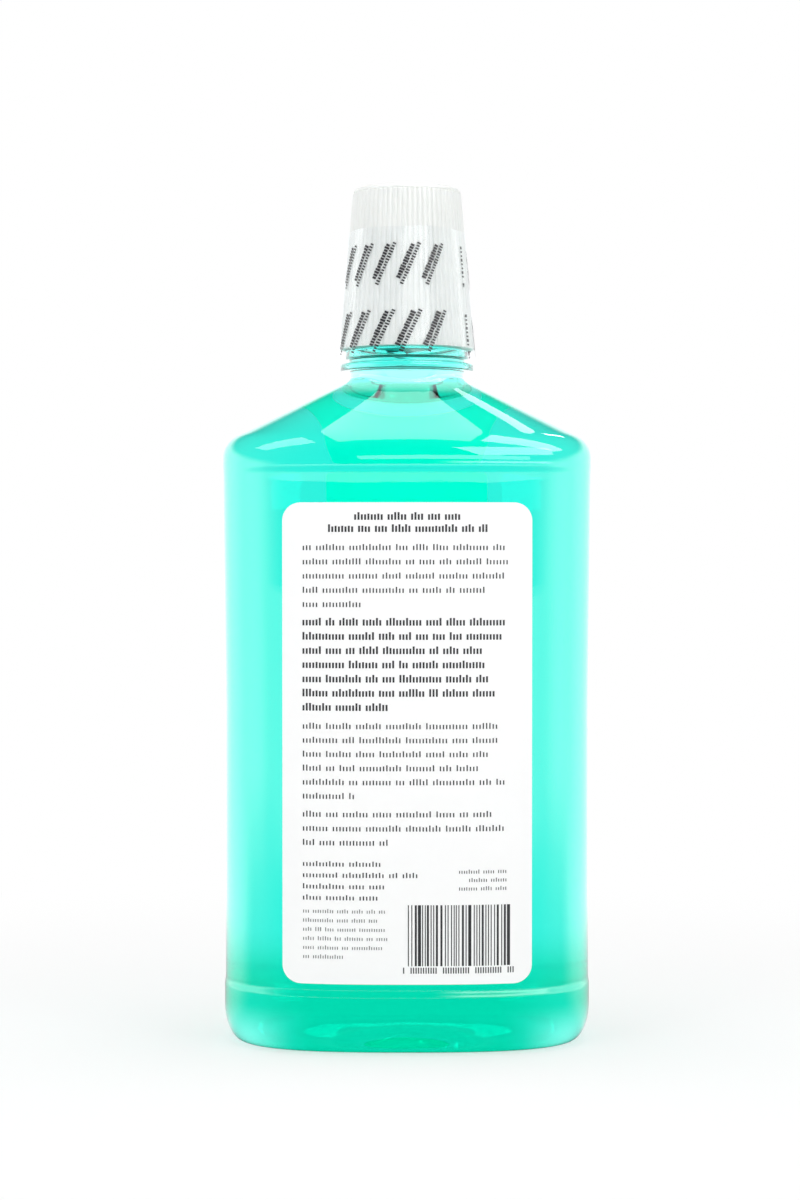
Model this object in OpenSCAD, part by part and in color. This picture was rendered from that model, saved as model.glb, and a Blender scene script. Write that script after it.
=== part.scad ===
// Mouthwash bottle: a flat-oval clear bottle with its contents, two labels, a screw
// closure with a dosing cup inside a ribbed push-and-turn cap, and a tear-off neckband.
// The bottle stands on the origin. +Z is up, and the back label faces -Y.

/* [Body] */
// Width over the band above the label panel
body_w = 95.1; // [88:0.1:102]
// Depth over the band above the label panel
body_d = 58; // [52:0.1:64]
// How much narrower the label panel is than the body, along its lower half
panel_sink_w = 1.5; // [0.5:0.1:6]
// How much less deep the label panel is than the body
panel_sink_d = 1.2; // [0.4:0.1:5]
// Widening of the panel towards its top
panel_flare = 1.3; // [0:0.1:1.4]
// How much narrower the foot is than the body
foot_sink_w = 1; // [0:0.1:5]
// How much less deep the foot is than the body
foot_sink_d = 0.6; // [0:0.1:5]
// Squareness of the section, 2 is an ellipse and more is squarer
squareness = 2.8; // [2.4:0.1:3.4]
// Wall of the blown body
body_wall = 0.6; // [0.4:0.05:1]

/* [Body heights] */
// Height of the body up to the foot of its neck
body_h = 169.7; // [150:0.1:190]
// Height of the rounded heel round the base
heel_h = 9; // [7:0.1:10]
// How far the heel draws in at the base
heel_in = 4.5; // [3:0.1:6]
// Height of the foot up to the lower step
foot_h = 14.1; // [11:0.1:18]
// Height of the slope at each step
step_h = 2.4; // [1:0.1:4]
// Height of the shoulder from the band above the panel to the neck
shoulder_h = 22.6; // [20:0.1:27]

/* [Shoulder] */
// Corner radius of the shoulder at the narrow sides
side_corner = 6.5; // [4:0.1:9]
// Corner radius of the shoulder at the front and back
front_corner = 12; // [8:0.1:15]
// How much higher the corner of the narrow sides starts
side_lift = 2.3; // [0:0.1:4]
// How much lower the shoulder meets the neck at the front and back
front_dip = 1.5; // [0.5:0.1:2.5]

/* [Push-up in the base] */
// Width of the push-up
pushup_w = 70; // [50:0.5:76]
// Depth of the push-up
pushup_d = 39; // [30:0.5:40]
// Height of the push-up
pushup_h = 4; // [2:0.1:8]

/* [Neck] */
// Diameter of the neck under its flange
neck_d = 29.6; // [27.5:0.1:31]
// Length of the neck under its flange
neck_h = 1.9; // [1.5:0.1:6]
// How far the flange stands out past the collar
flange_over = 1.4; // [0.5:0.1:2]
// Thickness of the flange
flange_t = 1.8; // [1.2:0.1:3]
// Height of the groove between flange and collar
groove_h = 1.2; // [0.8:0.1:2]
// Depth of that groove
groove_depth = 0.9; // [0.4:0.1:1.1]
// Height of the collar
collar_h = 2.4; // [1.5:0.1:4]
// Diameter of the finish at the root of its thread
finish_d = 24.9; // [24:0.1:27]
// Height of the finish above the collar
finish_h = 13.3; // [11:0.1:18]
// Wall of the finish
finish_wall = 1.6; // [1.2:0.1:2]
// Length over which the bore opens out into the shoulder
bore_flare_h = 2.6; // [2:0.1:3.5]

/* [Contents] */
// Height of the liquid in the neck, above the foot of the neck
fill_h = 9.3; // [4:0.1:14]

/* [Labels] */
// Width of the back label
back_label_w = 62.2; // [40:0.1:66]
// Distance from the top of the back label to the top of the panel
back_label_drop = 7.1; // [1:0.1:40]
// Width of the front label
front_label_w = 38.4; // [30:0.1:66]
// How far the front label reaches up past the top of the panel, where the front has no step
front_label_rise = 4.8; // [1:0.1:6]
// Corner radius of both labels
label_corner = 4.5; // [2:0.1:8]
// Thickness of both labels
label_t = 0.12; // [0.06:0.01:0.2]
// Height of both labels above the foot of the panel
label_lift = 1.3; // [0.6:0.1:2]

/* [Sealing ring] */
// Thickness of the sealing ring
seal_t = 1; // [0.6:0.1:2]
// How far the ring stands out past the rim
seal_over = 0.85; // [0.3:0.05:1.1]

/* [Dosing cup] */
// Height of the thread above its root
thread_depth = 1.2; // [0.8:0.1:1.5]
// Wall of the cup's threaded skirt
skirt_wall = 0.9; // [0.7:0.05:1.3]
// Wall of the cup above the rim
cup_wall = 0.85; // [0.6:0.05:1.2]
// Thickness of the land that presses on the ring, and of the cup's end
land_t = 1; // [0.7:0.1:1.6]
// Depth of the cup above the land
cup_depth = 21.8; // [16:0.1:30]
// How much narrower the cup is at its closed end
cup_draft = 1.05; // [0.3:0.05:2]
// Thickness of the flange that traps the cup in the outer cap
catch_t = 1; // [0.6:0.1:1.6]

/* [Outer cap] */
// Wall of the outer cap under its ribs
cap_wall = 0.75; // [0.6:0.05:1.2]
// Thickness of the cap's top
cap_top_t = 1.2; // [0.8:0.1:2]
// Taper of the cap, radius lost for each millimetre of height
cap_taper = 0.082; // [0.05:0.002:0.11]
// Radius of the rounded edge of the top
cap_edge = 1; // [0.6:0.1:1.1]
// Number of grip ribs round the cap
rib_count = 68; // [40:1:80]
// Height of the ribs
rib_h = 0.3; // [0.15:0.05:0.5]
// Height of the snap bead inside the cap
bead_h = 0.6; // [0.4:0.1:1]
// Hold of the snap bead under the cup's flange
bead_hold = 0.3; // [0.15:0.05:0.4]

/* [Push-and-turn drive] */
// Travel of the outer cap when it is pushed down
push_travel = 1.4; // [1:0.1:2]
// Number of driving lugs on the cup and on the cap
lug_count = 8; // [4:1:9]
// Width of a driving lug
lug_w = 2; // [1.2:0.1:2.1]
// Length of a driving lug along the radius
lug_l = 3.4; // [2:0.1:4]

/* [Neckband] */
// Height of the film band
film_h = 32.5; // [20:0.5:38]
// Thickness of the film
film_t = 0.1; // [0.05:0.01:0.2]
// How far the band reaches down past the top of the collar
film_drop = 2; // [1:0.1:2.8]
// Direction of the tear line, turned from the back label towards +X
tear_angle = 53; // [20:1:90]
// Length of one cut in the tear line
tear_cut = 1; // [0.5:0.1:2]
// Length left uncut between two cuts
tear_tie = 1; // [0.5:0.1:2]
// Width of the cuts
tear_w = 0.2; // [0.1:0.05:0.4]

/* [Clearances] */
// Running gap between closure pieces that move on each other
run_gap = 0.3; // [0.2:0.05:0.4]
// Gap between the ring and the faces it seals
seal_gap = 0.05; // [0.03:0.01:0.1]
// Gap between the film and the ribs under it
film_gap = 0.1; // [0.05:0.01:0.2]
// Gap between the labels and the body
label_gap = 0.08; // [0.06:0.01:0.15]
// Gap between the liquid and the wall
liquid_gap = 0.1; // [0.05:0.01:0.2]

/* [Hidden] */

bottle_colour = [0.80, 0.97, 0.95, 0.35];
liquid_colour = [0.05, 0.87, 0.76, 0.6];
label_colour = [1, 1, 1];
seal_colour = [0.86, 0.88, 0.88];
cup_colour = [0.96, 0.97, 0.96];
cap_colour = [0.93, 0.94, 0.93];
film_colour = [0.86, 0.92, 0.94, 0.3];

// Points round a section of the blown body
segments = 48;
// Facets of the turned pieces
round_fn = 96;
// Small overlap that lets cuts and unions pass through a face
cut_over = 0.5;

// Widths and depths of the panel and the foot, which follow the body
panel_w = body_w - panel_sink_w;
panel_d = body_d - panel_sink_d;
foot_w = body_w - foot_sink_w;
foot_d = body_d - foot_sink_d;

// Heights of the body
panel_foot_z = foot_h + step_h;
panel_top_z = body_h - shoulder_h - step_h;
panel_h = panel_top_z - panel_foot_z;
// The lower half of the panel is straight, and it widens above this height
flare_z = panel_foot_z + panel_h * 0.55;
band_z = panel_top_z + step_h;
front_start_z = band_z;
side_start_z = band_z + side_lift;
neck_z = body_h;
front_neck_z = neck_z - front_dip;

// The blown shell ends inside the wall of the neck, this far from its faces
neck_lap = 0.2;
neck_r = neck_d / 2;
shell_neck_r = neck_r - neck_lap;
neck_wall = body_wall + 2 * neck_lap;
neck_lap_z = neck_z + 0.7;
neck_tube_z = neck_z + 0.2;

// Heights of the neck
flange_z = neck_tube_z + neck_h;
groove_z = flange_z + flange_t;
collar_z = groove_z + groove_h;
collar_top_z = collar_z + collar_h;
rim_z = collar_top_z + finish_h;
finish_r = finish_d / 2;
bore_r = finish_r - finish_wall;
rim_chamfer = 0.5;
neck_bore_r = neck_r - neck_wall;
bore_flare_z = neck_tube_z + bore_flare_h;
fill_z = neck_z + fill_h;

// Heights of the closure, stacked up from the rim
seal_z = rim_z + seal_gap;
land_z = seal_z + seal_t + seal_gap;
land_top_z = land_z + land_t;
cup_end_z = land_z + cup_depth;
cup_top_z = cup_end_z + land_t;
lug_h = push_travel;
cap_lug_z = cup_top_z + lug_h + run_gap;
cap_roof_z = cap_lug_z + lug_h;
cap_top_z = cap_roof_z + cap_top_t;
skirt_z = collar_top_z + run_gap + seal_gap;
cap_z = collar_top_z + run_gap;

// Radii of the closure, stacked out from the finish
skirt_r = finish_r + thread_depth + run_gap;
skirt_out_r = skirt_r + skirt_wall;
cup_r = bore_r + seal_gap;
cup_end_r = cup_r - cup_draft;
skirt_bevel = 2 * land_t;
skirt_bevel_z = land_top_z - skirt_bevel;
cap_room = run_gap;

// Snap bead of the cap, clear of the collar when the cap is down
bead_z = collar_top_z + push_travel + run_gap;
bead_top_z = bead_z + bead_h;
catch_z = bead_top_z + run_gap;
catch_r = cap_in_r(catch_z + catch_t) - run_gap;
bead_r = catch_r - bead_hold;

// Radii of the neck that follow the closure
collar_r = cap_in_r(cap_z) - run_gap;
groove_r = collar_r - groove_depth;
flange_r = collar_r + flange_over;
flange_bevel = 0.4;

// Neckband
film_z = collar_top_z - film_drop;
film_top_z = film_z + film_h;

// Inner, crest and groove radius of the outer cap at a height
function cap_in_r(z) = skirt_out_r + cap_room + cap_taper * (skirt_bevel_z - z);
function cap_crest_r(z) = cap_in_r(z) + cap_wall + rib_h;

// Sign of a value times a power of its size
function signed_pow(v, p) = sign(v) * pow(abs(v), p);

// Points of a superellipse with squareness n at height z. Its half-width is a, and its
// half-depth is b towards the back and front_b towards the front.
function section(a, b, n, z, front_b) = [
    for (i = [0 : segments - 1])
        let (t = 360 * i / segments, depth = sin(t) > 0 ? front_b : b)
            [a * signed_pow(cos(t), 2 / n), depth * signed_pow(sin(t), 2 / n), z]
];

// Angle at which a line from the point (r, z) touches the corner circle about (c, zc)
function touch_angle(r, z, c, zc, corner) =
    atan2(z - zc, r - c) - acos(corner / norm([r - c, z - zc]));

// Half-width of a shoulder profile at height z: upright, round the corner, then straight
// to the neck. inset moves the whole profile inwards by that much.
function shoulder_half(z, half, corner, zc, neck_top, inset) =
    let (
        c = half - corner,
        angle = touch_angle(shell_neck_r, neck_top, c, zc, corner),
        radius = corner - inset,
        touch_z = zc + radius * sin(angle),
        slid = (z - touch_z) / cos(angle)
    )
    z <= zc ? half - inset
    : z <= touch_z ? c + sqrt(radius * radius - (z - zc) * (z - zc))
    : max(c + radius * cos(angle) - slid * sin(angle), shell_neck_r - inset);

// Squareness falls from the panel's to that of a plain circle up the shoulder
function shoulder_n(z) =
    let (t = min(1, max(0, (z - band_z) / (front_neck_z - band_z))))
        squareness * pow(2 / squareness, t * t * (3 - 2 * t));

// Half-depth of the label panel, and its half-width at a height
function panel_half_w(z) =
    panel_w / 2 + panel_flare / 2 * max(0, (z - flare_z) / (panel_top_z - flare_z));
panel_half_d = panel_d / 2;

// One ring of the blown body: half-width, half-depth at the back, squareness, height and
// half-depth at the front, which is as at the back unless it is given
function ring(a, b, n, z, front_b = undef) = [a, b, n, z, is_undef(front_b) ? b : front_b];

// Rings over the push-up, out to the resting ring and round the heel
dome_steps = 5;
function base_rings(inset) = concat(
    [
        for (i = [1 : dome_steps])
            let (t = i / dome_steps)
                ring(pushup_w / 2 * t, pushup_d / 2 * t, 2, pushup_h * (1 - t * t) + inset)
    ],
    [
        for (i = [0 : corner_steps])
            let (t = 90 * i / corner_steps, out = heel_in - (heel_in - inset) * sin(t))
                ring(
                    foot_w / 2 - out,
                    foot_d / 2 - out,
                    squareness,
                    heel_h - (heel_h - inset) * cos(t)
                )
    ]
);
corner_steps = 5;

// Rings up the foot, the lower step and the panel
function panel_rings(inset) = [
    ring(foot_w / 2 - inset, foot_d / 2 - inset, squareness, foot_h),
    for (z = [panel_foot_z, flare_z, panel_top_z])
        ring(panel_half_w(z) - inset, panel_half_d - inset, squareness, z),
];

// Rings up the shoulder, close together round its corners and then along its slopes. The
// step over the panel is left out at the front, where the label runs up to the shoulder.
shoulder_bend_z = side_start_z + side_corner;
bend_steps = 8;
slope_steps = 6;
shoulder_levels = concat(
    [for (i = [0 : bend_steps]) band_z + (shoulder_bend_z - band_z) * i / bend_steps],
    [
        for (i = [1 : slope_steps])
            shoulder_bend_z + (front_neck_z - shoulder_bend_z) * i / slope_steps
    ],
    [(front_neck_z + neck_z) / 2, neck_z]
);
function shoulder_rings(inset) = [
    for (z = shoulder_levels)
        ring(
            shoulder_half(z, body_w / 2, side_corner, side_start_z, neck_z, inset),
            shoulder_half(z, body_d / 2, front_corner, front_start_z, front_neck_z, inset),
            shoulder_n(z),
            z,
            shoulder_half(z, panel_half_d, front_corner, front_start_z, front_neck_z, inset)
        )
];

// Every ring of the blown body, moved inwards by inset
function body_rings(inset) =
    concat(base_rings(inset), panel_rings(inset), shoulder_rings(inset));

// A closed solid through rings of equal point counts, with a point in the middle of each end
module skin(rings) {
    count = len(rings);
    around = len(rings[0]);
    low = count * around;
    high = low + 1;
    sides = [
        for (j = [0 : count - 2])
            for (i = [0 : around - 1])
                let (
                    a = j * around + i,
                    b = j * around + (i + 1) % around,
                    c = a + around,
                    d = b + around
                )
                    each [[a, c, b], [b, c, d]]
    ];
    ends = [
        for (i = [0 : around - 1])
            let (next = (i + 1) % around, top = (count - 1) * around)
                each [[low, i, next], [high, top + next, top + i]]
    ];
    polyhedron(
        points = concat(
            [for (r = rings) each r],
            [[0, 0, rings[0][0].z], [0, 0, rings[count - 1][0].z]]
        ),
        faces = concat(sides, ends)
    );
}

// A closed solid through superellipse rings
module loft(rings) {
    skin([for (r = rings) section(r[0], r[1], r[2], r[3], r[4])]);
}

// Blown shell of the body, open at the neck
module body_shell() {
    difference() {
        loft(concat(
            body_rings(0),
            [ring(shell_neck_r, shell_neck_r, 2, neck_lap_z)]
        ));
        loft(concat(
            body_rings(body_wall),
            [ring(shell_neck_r - body_wall, shell_neck_r - body_wall, 2, neck_lap_z + cut_over)]
        ));
    }
}

// Neck with its flange, groove, collar and plain finish, in one turned piece
module neck() {
    rotate_extrude($fn = round_fn)
        polygon([
            [neck_bore_r, neck_tube_z],
            [neck_r, neck_tube_z],
            [neck_r, flange_z],
            [flange_r - flange_bevel, flange_z],
            [flange_r, flange_z + flange_bevel],
            [flange_r, groove_z - flange_bevel],
            [flange_r - flange_bevel, groove_z],
            [groove_r, groove_z],
            [groove_r, collar_z],
            [collar_r, collar_z],
            [collar_r, collar_top_z],
            [finish_r, collar_top_z],
            [finish_r, rim_z - rim_chamfer],
            [finish_r - rim_chamfer, rim_z],
            [bore_r, rim_z],
            [bore_r, bore_flare_z],
        ]);
}

module bottle() {
    color(bottle_colour) {
        body_shell();
        neck();
    }
}

// Rings of the liquid, which fills the body and stands in the neck up to the fill height
liquid_foot_r = neck_bore_r - liquid_gap;
liquid_neck_r = bore_r - liquid_gap;
liquid_rings = concat(
    body_rings(body_wall + liquid_gap),
    [
        ring(liquid_foot_r, liquid_foot_r, 2, neck_tube_z),
        ring(liquid_neck_r, liquid_neck_r, 2, bore_flare_z),
        ring(liquid_neck_r, liquid_neck_r, 2, fill_z),
    ]
);

module mouthwash() {
    color(liquid_colour)
        loft(liquid_rings);
}

// Volume inside a loft in millilitres, from the areas of its rings
function sum(values, i = 0) = i < len(values) ? values[i] + sum(values, i + 1) : 0;
function ring_area(r) =
    let (p = section(r[0], r[1], r[2], 0, r[4]))
        abs(sum([
            for (i = [0 : segments - 1])
                let (q = (i + 1) % segments) (p[i].x * p[q].y - p[q].x * p[i].y) / 2
        ]));
function loft_ml(rings) =
    sum([
        for (j = [0 : len(rings) - 2])
            let (a = ring_area(rings[j]), b = ring_area(rings[j + 1]))
                (a + b + sqrt(a * b)) / 3 * (rings[j + 1][3] - rings[j][3])
    ]) / 1000;
echo(fill_ml = loft_ml(liquid_rings));

// Half-width and half-depth of the face that carries a label, from the panel up its front
step_low_w = panel_half_w(panel_top_z);
function face_half_w(z) =
    z <= panel_top_z ? panel_half_w(z)
    : z <= band_z ? step_low_w + (body_w / 2 - step_low_w) * (z - panel_top_z) / step_h
    : shoulder_half(z, body_w / 2, side_corner, side_start_z, neck_z, 0);
function face_half_d(z) =
    shoulder_half(z, panel_half_d, front_corner, front_start_z, front_neck_z, 0);

// Depth of that face at x and height z
function face_depth(x, z) =
    let (share = abs(x) / face_half_w(z), n = shoulder_n(z))
        z <= band_z ? panel_half_d * pow(1 - pow(share, squareness), 1 / squareness)
        : face_half_d(z) * pow(1 - pow(share, n), 1 / n);

// Rows of a label: the arcs of its corners, and rows where the panel starts to widen and
// where the shoulder starts
label_arc_steps = 5;
label_columns = 16;
function label_rows(low, high) = concat(
    [for (i = [0 : label_arc_steps]) low + label_corner * (1 - cos(90 * i / label_arc_steps))],
    [for (z = [flare_z, band_z]) if (z > low + label_corner && z < high - label_corner) z],
    [
        for (i = [0 : label_arc_steps])
            high - label_corner * (1 - sin(90 * i / label_arc_steps))
    ]
);
function label_half(z, low, high, half) =
    let (past = max(0, low + label_corner - z, z - high + label_corner))
        half - label_corner + sqrt(max(0, pow(label_corner, 2) - past * past));

// A label laid on the -Y face, from the foot of the panel up to the height high
module label(width, high) {
    low = panel_foot_z + label_lift;
    rows = label_rows(low, high);
    row_count = len(rows);
    stride = label_columns + 1;
    layer = row_count * stride;
    points = [
        for (out = [label_gap, label_gap + label_t])
            for (z = rows)
                for (i = [0 : label_columns])
                    let (x = (2 * i / label_columns - 1) * label_half(z, low, high, width / 2))
                        [x, -face_depth(x, z) - out, z]
    ];
    inner = [
        for (j = [0 : row_count - 2])
            for (i = [0 : label_columns - 1])
                let (a = j * stride + i, b = a + 1, c = a + stride, d = c + 1)
                    each [[a, c, b], [b, c, d]]
    ];
    outer = [for (f = inner) [f[2] + layer, f[1] + layer, f[0] + layer]];
    rim_path = concat(
        [for (i = [0 : label_columns - 1]) i],
        [for (j = [0 : row_count - 2]) j * stride + label_columns],
        [for (i = [label_columns : -1 : 1]) (row_count - 1) * stride + i],
        [for (j = [row_count - 1 : -1 : 1]) j * stride]
    );
    rim = [
        for (k = [0 : len(rim_path) - 1])
            let (a = rim_path[k], b = rim_path[(k + 1) % len(rim_path)])
                each [[a, b, a + layer], [b, b + layer, a + layer]]
    ];
    polyhedron(points = points, faces = concat(inner, outer, rim));
}

module back_label() {
    color(label_colour)
        label(back_label_w, panel_top_z - back_label_drop);
}

module front_label() {
    color(label_colour)
        rotate([0, 0, 180])
            label(front_label_w, panel_top_z + front_label_rise);
}

// Flat ring between the rim and the land of the cup
module sealing_ring() {
    color(seal_colour)
        rotate_extrude($fn = round_fn)
            translate([bore_r + seal_gap, seal_z])
                square([finish_wall - seal_gap + seal_over, seal_t]);
}

// Driving lugs in a ring, standing up from height z
module lugs(z, turned) {
    for (i = [0 : lug_count - 1])
        rotate([0, 0, 360 * (i + turned) / lug_count])
            translate([cup_end_r - lug_l, -lug_w / 2, z])
                cube([lug_l, lug_w, lug_h + cut_over]);
}

// Inner piece: a threaded skirt, a land over the rim and a cup that measures a dose
module dosing_cup() {
    color(cup_colour) {
        rotate_extrude($fn = round_fn)
            polygon([
                [skirt_r, skirt_z],
                [skirt_out_r, skirt_z],
                [skirt_out_r, catch_z],
                [catch_r, catch_z],
                [catch_r, catch_z + catch_t],
                [skirt_out_r, catch_z + catch_t],
                [skirt_out_r, skirt_bevel_z],
                [skirt_out_r - land_t, land_top_z],
                [cup_r + cup_wall, land_top_z],
                [cup_end_r + cup_wall, cup_top_z - cup_wall],
                [cup_end_r, cup_top_z],
                [0, cup_top_z],
                [0, cup_end_z],
                [cup_end_r - cup_wall, cup_end_z],
                [cup_end_r, cup_end_z - cup_wall],
                [cup_r, land_z],
                [skirt_r, land_z],
            ]);
        translate([0, 0, -cut_over])
            lugs(cup_top_z, 0);
    }
}

// One rib of the cap's outline as shares of its pitch: a flat crest and a narrow groove
rib_shape = [[-0.32, 1], [0.32, 1], [0.42, 0], [0.58, 0]];
function ribbed_ring(radius, height, z) = [
    for (i = [0 : rib_count - 1])
        for (p = rib_shape)
            let (t = 360 * (i + p[0]) / rib_count, r = radius + height * p[1])
                [r * cos(t), r * sin(t), z]
];

// Outer form of the cap: a ribbed cone whose ribs run out under a rounded top edge
module ribbed_form() {
    ribs_top_z = cap_top_z - cap_edge - rib_h;
    edge_z = cap_top_z - cap_edge;
    edge_r = cap_crest_r(edge_z) - rib_h / 2 - cap_edge;
    edge_steps = 3;
    rings = concat(
        [
            ribbed_ring(cap_crest_r(cap_z) - rib_h, rib_h, cap_z),
            ribbed_ring(cap_crest_r(ribs_top_z) - rib_h, rib_h, ribs_top_z),
        ],
        [
            for (i = [0 : edge_steps])
                let (t = 90 * i / edge_steps)
                    ribbed_ring(edge_r + cap_edge * cos(t), 0, edge_z + cap_edge * sin(t))
        ]
    );
    skin(rings);
}

// Hollow of the cap: a cone that is narrowed by the snap bead
module cap_hollow() {
    low_z = cap_z - cut_over;
    rotate_extrude($fn = round_fn)
        polygon([
            [0, low_z],
            [cap_in_r(low_z), low_z],
            [cap_in_r(bead_z), bead_z],
            [bead_r, bead_z],
            [bead_r, bead_top_z],
            [cap_in_r(bead_top_z), bead_top_z],
            [cap_in_r(cap_roof_z), cap_roof_z],
            [0, cap_roof_z],
        ]);
}

// Outer piece: the ribbed shell that is pushed down and turned
module outer_cap() {
    color(cap_colour) {
        difference() {
            ribbed_form();
            cap_hollow();
        }
        lugs(cap_lug_z, 0.5);
    }
}

// Shrunk film over the lower cap and the collar, with a line of cuts down one side
module neckband() {
    tear_pitch = tear_cut + tear_tie;
    tear_count = floor((film_h - tear_tie) / tear_pitch);
    tear_rest = film_h - tear_count * tear_pitch + tear_tie;
    low_r = cap_crest_r(film_z) + film_gap;
    top_r = cap_crest_r(film_top_z) + film_gap;
    color(film_colour)
        difference() {
            rotate_extrude($fn = round_fn)
                polygon([
                    [low_r, film_z],
                    [low_r + film_t, film_z],
                    [top_r + film_t, film_top_z],
                    [top_r, film_top_z],
                ]);
            for (i = [0 : tear_count - 1])
                rotate([0, 0, tear_angle - 90])
                    translate([top_r / 2, -tear_w / 2, film_z + tear_rest / 2 + i * tear_pitch])
                        cube([low_r, tear_w, tear_cut]);
        }
}

bottle();
mouthwash();
back_label();
front_label();
sealing_ring();
dosing_cup();
outer_cap();
neckband();
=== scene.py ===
"""Mouthwash bottle: dresses the packed model with a clear bottle, its contents, labels and cap."""
import math
import random

import bpy
import numpy as np
from bpy.props import FloatProperty, FloatVectorProperty, IntProperty, PointerProperty
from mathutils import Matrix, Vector


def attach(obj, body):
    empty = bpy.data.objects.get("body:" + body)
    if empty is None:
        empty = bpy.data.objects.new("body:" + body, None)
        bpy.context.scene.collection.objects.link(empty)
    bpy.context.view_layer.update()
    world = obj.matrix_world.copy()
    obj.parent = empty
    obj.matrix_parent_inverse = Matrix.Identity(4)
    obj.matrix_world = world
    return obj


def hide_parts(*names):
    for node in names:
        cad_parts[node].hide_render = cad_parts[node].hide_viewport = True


bl_info = {
    "name": "Mouthwash Bottle",
    "version": (1, 0, 0),
    "blender": (4, 5, 0),
    "location": "3D View > Sidebar > Bottle",
    "description": "Builds the pieces, finishes and studio of a mouthwash bottle",
    "category": "Object",
}

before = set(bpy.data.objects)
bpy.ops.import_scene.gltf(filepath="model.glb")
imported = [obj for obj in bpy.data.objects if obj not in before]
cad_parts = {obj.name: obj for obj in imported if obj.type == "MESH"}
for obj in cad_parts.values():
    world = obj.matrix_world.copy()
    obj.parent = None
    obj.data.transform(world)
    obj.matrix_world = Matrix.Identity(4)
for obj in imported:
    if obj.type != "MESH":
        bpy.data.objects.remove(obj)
MM = 0.001
WHITE = (1.0, 1.0, 1.0, 1.0)
BLACK = (0.0, 0.0, 0.0, 1.0)
# Points closer than this are joined
WELD = 2e-6
# How far the shoulder and the neck run into each other
NECK_LAP = 0.2 * MM
# Thickness of a bar of print
INK_T = 0.012 * MM
# Radius at which the film is laid flat for its print
FLAT_R = 15.9 * MM
# Lean of the film's slanted print, in degrees
PRINT_LEAN = 66


def length(name, text, mm):
    """A length property, given in millimetres."""
    return FloatProperty(name=name, description=text, default=mm * MM, unit="LENGTH", precision=5)


def number(name, text, value, low, high):
    return FloatProperty(name=name, description=text, default=value, min=low, max=high)


def whole(name, text, value, low, high):
    return IntProperty(name=name, description=text, default=value, min=low, max=high)


def colour(name, text, value):
    return FloatVectorProperty(
        name=name, description=text, default=value, subtype="COLOR", size=3, min=0, max=1
    )


class BottleSizes(bpy.types.PropertyGroup):
    """Sizes of the blown bottle, as in the packed model."""

    body_w: length("Body width", "Width over the band above the label panel", 95.1)
    body_d: length("Body depth", "Depth over the band above the label panel", 58)
    panel_w: length("Panel width", "Width of the label panel along its lower half", 93.6)
    panel_d: length("Panel depth", "Depth of the label panel", 56.8)
    panel_flare: length("Panel flare", "Widening of the panel towards its top", 1.3)
    foot_w: length("Foot width", "Width of the foot below the panel", 94.1)
    foot_d: length("Foot depth", "Depth of the foot below the panel", 57.4)
    wall: length("Wall", "Wall of the blown body", 0.6)
    heel_h: length("Heel height", "Height of the rounded heel round the base", 9)
    heel_in: length("Heel", "How far the heel draws in at the base", 4.5)
    foot_z: length("Foot height", "Height of the foot up to the lower step", 14.1)
    panel_foot_z: length("Panel foot", "Height at which the panel starts", 16.5)
    flare_z: length("Flare height", "Height above which the panel widens", 87.01)
    panel_top_z: length("Panel top", "Height at which the panel ends", 144.7)
    band_z: length("Band height", "Height of the band above the panel", 147.1)
    side_z: length("Side corner height", "Height at which the side corners start", 149.4)
    front_neck_z: length("Front neck", "Height of the shoulder at the front of the neck", 168.2)
    neck_z: length("Neck height", "Height of the shoulder at the sides of the neck", 169.7)
    side_corner: length("Side corner", "Corner radius of the shoulder at the narrow sides", 6.5)
    front_corner: length("Front corner", "Corner radius of the shoulder at front and back", 12)
    pushup_w: length("Push-up width", "Width of the push-up in the base", 70)
    pushup_d: length("Push-up depth", "Depth of the push-up in the base", 39)
    pushup_h: length("Push-up height", "Height of the push-up in the base", 4)
    squareness: number("Squareness", "2 is an ellipse, more is squarer", 2.8, 2, 4)


class NeckSizes(bpy.types.PropertyGroup):
    """Sizes of the neck, the finish and the liquid's top."""

    neck_r: length("Neck radius", "Radius under the flange", 14.8)
    flange_z: length("Flange height", "Underside of the flange", 171.8)
    flange_r: length("Flange radius", "Radius of the thin flange", 17.32)
    groove_z: length("Groove height", "Top of the flange", 173.6)
    groove_r: length("Groove radius", "Radius between flange and collar", 15.02)
    collar_z: length("Collar height", "Underside of the collar", 174.8)
    collar_r: length("Collar radius", "Radius of the collar", 15.92)
    collar_top_z: length("Collar top", "Top of the collar", 177.2)
    finish_r: length("Finish radius", "Radius at the root of the thread", 12.45)
    rim_z: length("Rim height", "Top of the mouth", 190.5)
    bore_r: length("Bore radius", "Radius inside the mouth", 10.85)
    neck_bore_r: length("Neck bore radius", "Inner radius at the foot of the neck", 13.8)
    bore_z: length("Bore height", "Height at which the bore is straight", 172.5)
    fill_z: length("Fill height", "Level of the liquid", 179.0)
    thread_pitch: length("Thread pitch", "Rise of the closure in one turn", 4.23)
    thread_z: length("Thread start", "Height of the start of the bottle's thread", 180.6)
    thread_depth: length("Thread depth", "Height of the thread above its root", 1.1)
    skirt_r: length("Skirt radius", "Inner radius of the dosing cup's skirt", 13.95)


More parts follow.
